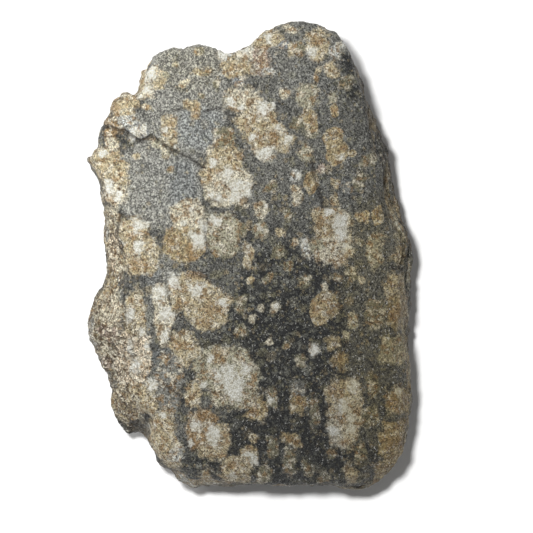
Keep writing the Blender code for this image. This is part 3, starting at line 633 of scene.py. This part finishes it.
def crackFields(points, depth, wander):
    darkest, edge, carveEdge = (stoneValues[name] for name in ("crackDarkest", "crackEdge", "carveEdge"))
    coreShare, coreEdge = stoneValues["crackCore"]
    shallow, perDepth = stoneValues["crackTone"]
    moved = points + wander * stoneValues["crackWander"]
    below = np.maximum(depth - stoneValues["crackDepth"], 0.0)
    crack = np.zeros(len(points))
    carve = np.zeros(len(points))
    for halfWidth, deep, line in cracks:
        away = lineDistance(moved, line) + below
        half = halfWidth * mapUnit
        darkness = min(darkest, shallow + perDepth * deep)
        crack = np.maximum(crack, darkness * ease(half + edge, halfWidth * coreShare + coreEdge, away))
        carve = np.maximum(carve, deep * mapUnit * ease(half + carveEdge, 0.0, away))
    return crack, carve


# Every field of the stone at its points, by name.
def stoneFields(points, normals):
    values = stoneValues
    x, y, _ = points.T
    up = normals[:, 2]
    depth = depthBelowFace(points)
    wander = np.stack([lumps(points, values["warpSize"], seed) for seed in values["warpSeeds"]], axis=1)
    warped = points + wander * values["warpReach"]
    edge, tint = faceClasts(warped, depth)
    buryClasts(points, warped, depth, edge, tint)
    crack, carve = crackFields(points, depth, wander)

    leftSide = zone("leftSide", x)
    start, onFlank, onEdge = values["skinDepths"]
    skinFrom = start + onFlank * zone("skinFlank", x, y)
    skinFrom += onEdge * zone("skinEdge", x, y)
    skin = zone("skinUp", up) * (1.0 - values["skinLeftLoss"] * leftSide)
    skin *= ease(skinFrom, skinFrom + values["skinFade"], depth)
    lobe = zone("lobe", x, y)
    return {
        "depth": depth, "edge": edge, "tint": tint, "crack": crack, "carve": carve, "lobe": lobe,
        "rind": skin,
        "white": spotField(whites, warped, depth),
        "rust": spotField(rusts, warped, depth),
        "pale": areaField(paleAreas, warped, "pale", values["groundPaleness"]),
        "cool": areaField(coolAreas, warped, "cool"),
        "onFace": zone("onFace", up, depth),
        "broken": np.maximum(lobe, leftSide * zone("brokenUp", up)),
    }


# Brings the rim of the worn face out to the edge that the face map shows.
def bringOutRim(points, outwards, up, depth, rightFlank):
    values = stoneValues
    x, y, _ = points.T
    far = zone("farSide", outwards[:, 1])
    near = np.minimum(zone("nearEnd", y) + zone("nearRight", x, y), 1.0)
    bent = zone("bent", up)
    rim = bent * zone("rim", depth) * (far * values["farReach"] + near * values["nearReach"])
    rim = np.maximum(rim, rightFlank * bent * zone("rightRim", depth) * values["rightReach"])
    rim -= far * (1.0 - rightFlank) * zone("tuck", depth) * values["flankTuck"]
    for spotX, spotY, radius, reach in edgeNudges:
        away = np.linalg.norm(points[:, :2] - np.array(fromMap(spotX, spotY)), axis=1)
        nudge = ease(radius * mapUnit, radius * values["nudgeCore"], away) * zone("nudgeDeep", depth)
        rim += reach * mapUnit * nudge
    points[:, :2] += outwards * rim[:, None]


def bumps(points, share, name, sink=0.0):
    height, size, seed = stoneValues[name]
    return share * height * (lumps(points, size, seed) - sink)


def carveStone(mesh):
    values = stoneValues
    noise.seed_set(values["seed"])  # the tilt of the chips goes by it, and is the same in each run
    points, normals = readPoints(mesh)
    fields = stoneFields(points, normals)
    depth, onFace = fields["depth"], fields["onFace"]
    x, y, z = points.T
    side = np.clip(np.linalg.norm(normals[:, :2], axis=1), 0.2, 1.0)
    outwards = normals[:, :2] / side[:, None]
    rightFlank = zone("rightFlank", x, y, outwards[:, 0])
    bringOutRim(points, outwards, normals[:, 2], depth, rightFlank)

    push = bumps(points, onFace, "grain")
    push += bumps(points, onFace, "dimple")
    push += onFace * values["clastStand"] * zone("standEdge", fields["edge"])
    rough = np.maximum(1.0 - onFace, fields["lobe"] * values["lobeRough"])
    lumpy = rough * (1.0 - values["rightSmooth"] * rightFlank)
    push += bumps(points, lumpy, "lump", values["lumpSink"])
    lowest = values["chipLowest"]
    chipped = rough * zone("chipped", x, y)
    chipped = np.clip(chipped * (lowest + (1.0 - lowest) * zone("chipDeep", depth)), 0.0, 1.0)
    crease = np.zeros(len(points))
    for size, high, deep in zip(values["chipSizes"], values["chipHeights"], values["chipCreases"]):
        rise, lines = chips(points, chipped, size, size * 10.0)
        push += rise * high - lines * deep
        crease = np.maximum(crease, lines * ease(0.2, 0.8, high / values["chipHeights"][0]))
    gritty = rough * (1.0 + (values["leftGrit"] - 1.0) * zone("gritLeft", x))
    push += bumps(points, gritty, "grit")
    push += bumps(points, gritty, "crumb")
    streaked = np.maximum(zone("streakRight", x, y), zone("streakLeft", x, y))
    wave = np.sin(2.0 * math.pi * (z / values["streakPitch"] + lumps(points, 3.0, 2.0)))
    push += rough * streaked * values["streakHeight"] * wave
    push -= fields["carve"]
    push += rough * values["swell"]
    push *= zone("aboveFloor", z)
    points = points + normals * push[:, None]
    points[:, 2] = np.maximum(points[:, 2], 0.0)
    mesh.vertices.foreach_set("co", points.ravel())
    mesh.update()
    fields["crease"] = crease
    return fields


def makeStone():
    mesh = stoneBlank()
    fields = carveStone(mesh)
    for name in ("edge", "white", "rust", "pale", "cool", "crack", "rind", "broken", "crease"):
        layer = mesh.attributes.new(name, "FLOAT", "POINT")
        layer.data.foreach_set("value", fields[name].astype(np.float32))
    layer = mesh.attributes.new("tint", "FLOAT_COLOR", "POINT")
    layer.data.foreach_set("color", fields["tint"].ravel().astype(np.float32))
    mesh.transform(Matrix.Scale(1.0 / perMetre, 4))
    mesh.shade_smooth()
    stone = addObject("stone", mesh)
    mesh.calc_loop_triangles()
    print("stage 3: stone carved,", len(mesh.loop_triangles), "triangles")
    return stone


# Node helpers. Each puts one node in the tree that a socket given to it is in, and gives back a result.

def feed(socket, value):
    if isinstance(value, bpy.types.NodeSocket):
        socket.id_data.links.new(value, socket)
    else:
        socket.default_value = value


def newNode(kind, given, **settings):
    tree = next(value.id_data for value in given.values() if isinstance(value, bpy.types.NodeSocket))
    node = tree.nodes.new("ShaderNode" + kind)
    for name, setting in settings.items():
        setattr(node, name, setting)
    for name, value in given.items():
        feed(node.inputs[name], value)
    return node


def calc(operation, *values):
    return newNode("Math", dict(enumerate(values)), operation=operation).outputs[0]


def times(first, second):
    return calc("MULTIPLY", first, second)


def plus(first, second):
    return calc("ADD", first, second)


def minus(first, second):
    return calc("SUBTRACT", first, second)


def ranged(value, low, high, toLow=0.0, toHigh=1.0, how="SMOOTHSTEP"):
    given = {"Value": value, "From Min": low, "From Max": high, "To Min": toLow, "To Max": toHigh}
    return newNode("MapRange", given, interpolation_type=how).outputs["Result"]


def straight(value, low, high, toLow=0.0, toHigh=1.0):
    return ranged(value, low, high, toLow, toHigh, "LINEAR")


def mixed(share, first, second, how="MIX"):
    return newNode("Mix", {0: share, 6: first, 7: second}, data_type="RGBA", blend_type=how).outputs[2]


def tinted(colour, tint):
    return mixed(1.0, colour, tint, "MULTIPLY")


def moved(vector, scale=(1.0, 1.0, 1.0), shift=(0.0, 0.0, 0.0)):
    return newNode("Mapping", {"Vector": vector, "Scale": scale, "Location": shift}).outputs["Vector"]


def cloud(vector, scale, detail=3.0, roughness=0.55, output="Fac"):
    given = {"Vector": vector, "Scale": scale, "Detail": detail, "Roughness": roughness}
    return newNode("TexNoise", given).outputs[output]


def warpedBy(vector, scale, reach):
    wobble = cloud(vector, scale, 2.0, output="Color")
    given = {0: wobble, 1: (reach, reach, reach), 2: vector}
    return newNode("VectorMath", given, operation="MULTIPLY_ADD").outputs[0]


def cells(vector, scale):  # distance from the middle of a cell, and three chances for the cell
    node = newNode("TexVoronoi", {"Vector": vector, "Scale": scale})
    chances = newNode("SeparateColor", {0: node.outputs["Color"]}).outputs
    return node.outputs["Distance"], chances[0], chances[1], chances[2]


def colourOf(red, green, blue):
    return newNode("CombineColor", {0: red, 1: green, 2: blue}).outputs[0]


def grey(value):
    return colourOf(value, value, value)


def field(tree, name, output="Fac"):
    node = tree.nodes.new("ShaderNodeAttribute")
    node.attribute_name = name
    return node.outputs[output]


def newGroup(name, inputs, outputs):  # a lone number is a value, three are a place and four a colour
    group = bpy.data.node_groups.new(name, "ShaderNodeTree")
    for label, value in inputs.items():
        kind = "Float" if isinstance(value, float) else {3: "Vector", 4: "Color"}[len(value)]
        socket = group.interface.new_socket(name=label, in_out="INPUT", socket_type="NodeSocket" + kind)
        socket.default_value = value
    for label in outputs:
        kind = "Color" if label == "Color" else "Float"
        group.interface.new_socket(name=label, in_out="OUTPUT", socket_type="NodeSocket" + kind)
    return group, group.nodes.new("NodeGroupInput").outputs, group.nodes.new("NodeGroupOutput").inputs


def placeGroup(group, given):
    return newNode("Group", given, node_tree=group).outputs


# Mineral grains: flat little cells of two sizes, each with its own lightness. Glint marks the rare grains
# that get a painted highlight.
def mineralGrains():
    inputs = {"Place": (0, 0, 0), "Fineness": 5.0}
    group, given, out = newGroup("mineralGrains", inputs, ("Lightness", "Warmth", "Glint", "Height"))
    coarser, fineShare, bulge = 0.45, 0.80, 1.5
    place = warpedBy(given["Place"], 5.0, 0.12)
    apart, fineLight, _, fineGlint = cells(place, given["Fineness"])
    shifted = moved(place, shift=(3.3, 1.7, 4.1))
    _, coarseLight, warmth, coarseGlint = cells(shifted, times(given["Fineness"], coarser))
    light = plus(times(fineLight, fineShare), times(coarseLight, 1.0 - fineShare))
    feed(out["Lightness"], light)
    feed(out["Warmth"], warmth)
    feed(out["Glint"], ranged(plus(fineGlint, coarseGlint), 1.66, 1.80))
    feed(out["Height"], plus(times(apart, bulge), light))
    return group


# Specks: small rounded bits, each with its own size and tone. Share is how many of them there are.
def stoneSpecks():
    inputs = {"Place": (0, 0, 0), "Spacing": 1.0, "Share": 0.5}
    group, given, out = newGroup("stoneSpecks", inputs, ("Mask", "Tone"))
    smallest, largest = 0.26, 0.62
    perSpacing = calc("DIVIDE", 1.0, given["Spacing"])
    place = warpedBy(given["Place"], times(perSpacing, 2.2), 0.36)
    apart, chance, tone, size = cells(place, perSpacing)
    there = ranged(minus(given["Share"], chance), -0.02, 0.02)
    radius = straight(size, 0.0, 1.0, smallest, largest)
    inside = minus(radius, apart)
    feed(out["Mask"], times(there, ranged(inside, -0.12, 0.22)))
    feed(out["Tone"], tone)
    return group


# Mottle inside a clast: its own tint broken up by stains, pale bits, brown flecks and dark pin holes,
# and on the broken left side also by folds painted dark as shade and pale ridges beside them painted as
# highlights.
def clastMottle():
    values = stoneValues
    inputs = {
        "Place": (0, 0, 0), "Tint": values["kinds"]["tan"], "Pale": values["pale"],
        "Stain": values["stain"], "Fleck": values["fleck"], "Broken": 0.0,
    }
    group, given, out = newGroup("clastMottle", inputs, ("Color", "Height"))
    place, broken = given["Place"], given["Broken"]
    stains = cloud(warpedBy(place, 2.0, 0.3), 1.6, 2.5)
    bits = cloud(moved(place, shift=(7.0, 3.0, 1.0)), 1.8, 2.5)
    flecks = cloud(warpedBy(place, 4.0, 0.3), 3.4, 4.0, 0.62)
    fleckFrom = straight(broken, 0.0, 1.0, 0.55, 0.52)
    apart, chance, _, _ = cells(warpedBy(place, 3.0, 0.2), 1.9)
    hole = times(ranged(apart, 0.10, 0.24, 1.0, 0.0), ranged(chance, 0.55, 0.6))
    wave = cloud(warpedBy(place, 0.8, 0.7), 0.9, 2.5, 0.45)
    offFold = minus(wave, 0.5)
    offRidge = minus(offFold, 0.080)
    fold = times(ranged(calc("ABSOLUTE", offFold), 0.010, 0.050, 1.0, 0.0), broken)
    ridge = times(ranged(calc("ABSOLUTE", offRidge), 0.015, 0.055, 1.0, 0.0), broken)
    colour = given["Tint"]
    for mask, cover, layer in (
        (ranged(stains, 0.49, 0.61), values["stainCover"], given["Stain"]),
        (ranged(bits, 0.50, 0.61), values["bitCover"], given["Pale"]),
        (ranged(minus(flecks, fleckFrom), 0.0, 0.09), values["fleckCover"], given["Fleck"]),
        (hole, values["holeCover"], values["pinHole"]),
        # painted highlight along the ridges, in the pale colour, and painted shade in the folds, in the
        # fleck colour
        (ridge, values["ridgeHighlightCover"], given["Pale"]),
        (fold, values["foldShadeCover"], given["Fleck"]),
    ):
        colour = mixed(times(mask, cover), colour, layer)
    feed(out["Color"], colour)
    rise = minus(times(flecks, -1.2), hole)
    feed(out["Height"], plus(rise, times(minus(ridge, fold), 1.5)))
    return group


# Weathered skin of the flanks: tan, brown and dark streaks that run level round the stone.
def weatherRind():
    values = stoneValues
    inputs = {"Place": (0, 0, 0), "Amount": 0.0, "Cover": 0.8, "Under": values["kinds"]["grey"]}
    group, given, out = newGroup("weatherRind", inputs, ("Color", "Height"))
    place, amount, under = given["Place"], given["Amount"], given["Under"]
    level = moved(warpedBy(place, 0.5, 0.8), scale=(0.20, 0.20, 1.9))
    streaks = cloud(level, 1.5, 6.0, 0.68)
    patches = cloud(place, 0.32, 4.0, 0.6)
    crumbs = cloud(place, 3.0, 4.0, 0.7)
    skin = mixed(ranged(streaks, 0.42, 0.60), values["skinDark"], values["skinPale"])
    skin = mixed(times(ranged(crumbs, 0.48, 0.66), 0.65), skin, values["skinCrumb"])
    cover = ranged(plus(patches, times(streaks, 0.4)), 0.55, 0.80)
    cover = times(times(cover, given["Cover"]), amount)
    gain = [ranged(streaks, 0.40, 0.62, 0.55, 1.35 * warmth) for warmth in (1.0, 0.97, 0.92)]
    under = mixed(amount, under, tinted(under, colourOf(*gain)))
    feed(out["Color"], mixed(cover, under, skin))
    feed(out["Height"], times(streaks, amount))
    return group


# A field with the wander of its edge added, by the stone's values for a kind of patch.
def drifting(place, name, kind):
    scale, reach, shift, detail, roughness = stoneValues[kind + "Drift"]
    wave = cloud(moved(place, shift=(shift, shift * 0.5, 2.0)), scale, detail, roughness)
    return plus(field(place.id_data, name), straight(wave, 0.25, 0.75, -reach, reach))


# Ground mass: dark to pale grey, with specks of three sizes and grains of its own.
def groundMass(place, light, cool):
    values = stoneValues
    pale = drifting(place, "pale", "pale")
    ground = mixed(straight(pale, 0.0, 1.0), values["shadowGrey"], values["midGrey"])
    group = stoneSpecks()
    for spacing, most, least, strength in values["specks"]:
        shifted = moved(place, shift=(spacing * 7, 2.0, 0.0))
        share = straight(pale, 0.15, 0.85, most, least)
        bits = placeGroup(group, {"Place": shifted, "Spacing": spacing, "Share": share})
        tone = mixed(ranged(bits["Tone"], 0.3, 0.5), values["speckOlive"], values["speckGrey"])
        tone = mixed(ranged(bits["Tone"], 0.80, 0.90), tone, values["speckTan"])
        shown = times(bits["Mask"], straight(pale, -0.45, 0.0, strength * 0.5, strength))
        ground = mixed(shown, ground, tone)
    ground = mixed(ranged(cool, 0.0, 1.0), ground, values["coolShift"], "MULTIPLY")
    low, high = values["grainRange"]
    paleLow, paleHigh = values["paleGrainRange"]
    paleness = straight(pale, 0.2, 0.9)
    curve = calc("MULTIPLY_ADD", paleness, 0.8, 1.0)
    curved = calc("POWER", straight(light, 0.1, 0.9), curve)
    darkest = calc("MULTIPLY_ADD", paleness, paleLow - low, low)
    brightest = calc("MULTIPLY_ADD", paleness, paleHigh - high, high)
    return tinted(ground, grey(straight(curved, 0.0, 1.0, darkest, brightest)))


# Lays the clasts over the ground mass, and white felspar and rust over both.
def layClasts(place, ground, inClast, mottle, grains):
    values = stoneValues
    light = grains["Lightness"]
    clastGrain = grey(straight(light, 0.1, 0.9, *values["clastGrainRange"]))
    warmth = plus(times(grains["Warmth"], 0.5), straight(light, 0.2, 0.8, 0.5, 0.0))
    hue = mixed(warmth, values["paleHue"], values["warmHue"])
    clast = tinted(tinted(mottle["Color"], hue), clastGrain)
    colour = mixed(inClast, ground, clast)
    rustTone = tinted(values["rust"], clastGrain)
    whiteTone = mixed(ranged(light, 0.2, 0.6), values["whiteShade"], values["whitePatch"])
    for name, tone in (("rust", rustTone), ("white", whiteTone)):
        mask = ranged(drifting(place, name, name), *values[name + "Span"])
        colour = mixed(times(mask, values[name + "Cover"]), colour, tone)
    return colour


def brecciatedStone():
    values = stoneValues
    material = bpy.data.materials.new("brecciatedStone")
    material.use_nodes = True
    tree = material.node_tree
    shader = tree.nodes["Principled BSDF"]
    coordinates = tree.nodes.new("ShaderNodeTexCoord")
    place = moved(coordinates.outputs["Object"], scale=(perMetre, perMetre, perMetre))
    longer = moved(place, scale=(1.08, 0.82, 1.0))  # grains a little longer than wide
    grains = placeGroup(mineralGrains(), {"Place": longer, "Fineness": values["grainFineness"]})
    light, cool, broken = grains["Lightness"], field(tree, "cool"), field(tree, "broken")

    ground = groundMass(place, light, cool)
    given = {"Place": place, "Tint": field(tree, "tint", "Color"), "Broken": broken}
    mottle = placeGroup(clastMottle(), given)
    inClast = ranged(drifting(place, "edge", "clast"), *values["clastSpan"])
    colour = layClasts(place, ground, inClast, mottle, grains)

    # weathered skin, painted shade in the creases of the broken side, and cracks
    cover = ranged(broken, 0.0, 1.0, 0.8, 0.25)
    given = {"Place": place, "Amount": field(tree, "rind"), "Cover": cover, "Under": colour}
    rind = placeGroup(weatherRind(), given)
    # painted shade: the carved creases between the chips are also darkened in colour, more where the mottle
    # lies low
    creaseShade = times(field(tree, "crease"), ranged(mottle["Height"], -0.9, -0.4, 0.72, 0.14))
    colour = mixed(creaseShade, rind["Color"], values["creaseShadeBrown"])
    crack = times(field(tree, "crack"), ranged(cloud(place, 3.0), 0.3, 0.5, 0.5, 1.0))
    colour = mixed(crack, colour, values["crackBrown"])

    # painted shade: the tones fall off to the right and towards the near end, where the face turns away
    # from the light; they also turn olive in some areas
    axes = newNode("SeparateXYZ", {0: place}).outputs
    shadeFalloff = [times(axis, slope) for axis, slope in zip(axes, values["shadeFalloffAcross"])]
    shadeFalloff = plus(plus(*shadeFalloff), values["shadeFalloffMiddle"])
    colour = tinted(colour, grey(calc("MAXIMUM", shadeFalloff, values["shadeFalloffLowest"])))
    colour = mixed(ranged(cool, 0.0, -1.2), colour, values["warmShift"], "MULTIPLY")
    # painted glints: rare grains painted near white as tiny highlights
    colour = mixed(times(grains["Glint"], values["glintCover"]), colour, values["glint"])
    feed(shader.inputs["Base Color"], colour)
    feed(shader.inputs["Roughness"], ranged(light, 0.8, 0.2, *values["roughness"]))

    height = plus(grains["Height"], times(plus(mottle["Height"], 0.65), inClast))
    height = plus(height, times(rind["Height"], 2.0))
    bump = tree.nodes.new("ShaderNodeBump")
    bump.inputs["Distance"].default_value = values["bumpMetres"]
    feed(bump.inputs["Height"], minus(height, times(crack, 1.5)))
    feed(shader.inputs["Normal"], bump.outputs["Normal"])
    return material


stone = makeStone()
stone.data.materials.append(brecciatedStone())
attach(stone, "root")
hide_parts("meteorite")
print("stage 4: stone finished")


# Floor, light and camera.

studio = {
    "floorHalfSize": 1.5,
    "floorColour": (0.93, 0.93, 0.925, 1.0),
    "floorRoughness": 0.9,
    "keyFrom": (-0.055, 0.055, 0.60),
    "keySize": 0.05,
    "keyPower": 3.55,
    "sideFrom": (-0.36, 0.28, 0.45),
    "sideSize": 0.25,
    "sidePower": 1.2,
    "skyColour": (1.0, 1.0, 1.0, 1.0),
    "skyStrength": 0.20,
    "lookAt": (1.68, -1.04),      # mm: the place under the middle of the picture
    "faceLevel": 9.5,             # the height at which the picture is frameWidth wide
    "cameraAbove": 1500.0,
    "frameWidth": 53.3,
    "sensor": 36.0,
}


def makeFloor():
    bm = bmesh.new()
    bmesh.ops.create_grid(bm, x_segments=1, y_segments=1, size=studio["floorHalfSize"])
    mesh = bpy.data.meshes.new("floor")
    bm.to_mesh(mesh)
    bm.free()
    material = bpy.data.materials.new("paleFloor")
    material.use_nodes = True
    shader = material.node_tree.nodes["Principled BSDF"]
    shader.inputs["Base Color"].default_value = studio["floorColour"]
    shader.inputs["Roughness"].default_value = studio["floorRoughness"]
    mesh.materials.append(material)
    addObject("floor", mesh)


def makeLights():
    world = bpy.data.worlds.new("studio")
    world.use_nodes = True
    sky = world.node_tree.nodes["Background"]
    sky.inputs["Color"].default_value = studio["skyColour"]
    sky.inputs["Strength"].default_value = studio["skyStrength"]
    bpy.context.scene.world = world
    for name in ("key", "side"):
        lamp = bpy.data.lights.new(name, "AREA")
        lamp.shape = "DISK"
        lamp.size = studio[name + "Size"]
        lamp.energy = studio[name + "Power"]
        light = addObject(name, lamp)
        light.location = studio[name + "From"]
        light.rotation_euler = (-Vector(studio[name + "From"])).to_track_quat("-Z", "Y").to_euler()


def makeCamera():
    data = bpy.data.cameras.new("camera")
    data.sensor_width = studio["sensor"]
    data.lens = studio["sensor"] * studio["cameraAbove"] / studio["frameWidth"]
    data.clip_start, data.clip_end = 0.01, 10.0
    camera = addObject("camera", data)
    x, y = studio["lookAt"]
    camera.location = (x / perMetre, y / perMetre, (studio["faceLevel"] + studio["cameraAbove"]) / perMetre)
    bpy.context.scene.camera = camera


makeFloor()
makeLights()
makeCamera()
bpy.context.scene.view_settings.view_transform = "Standard"
print("stage 5: floor, light and camera ready")
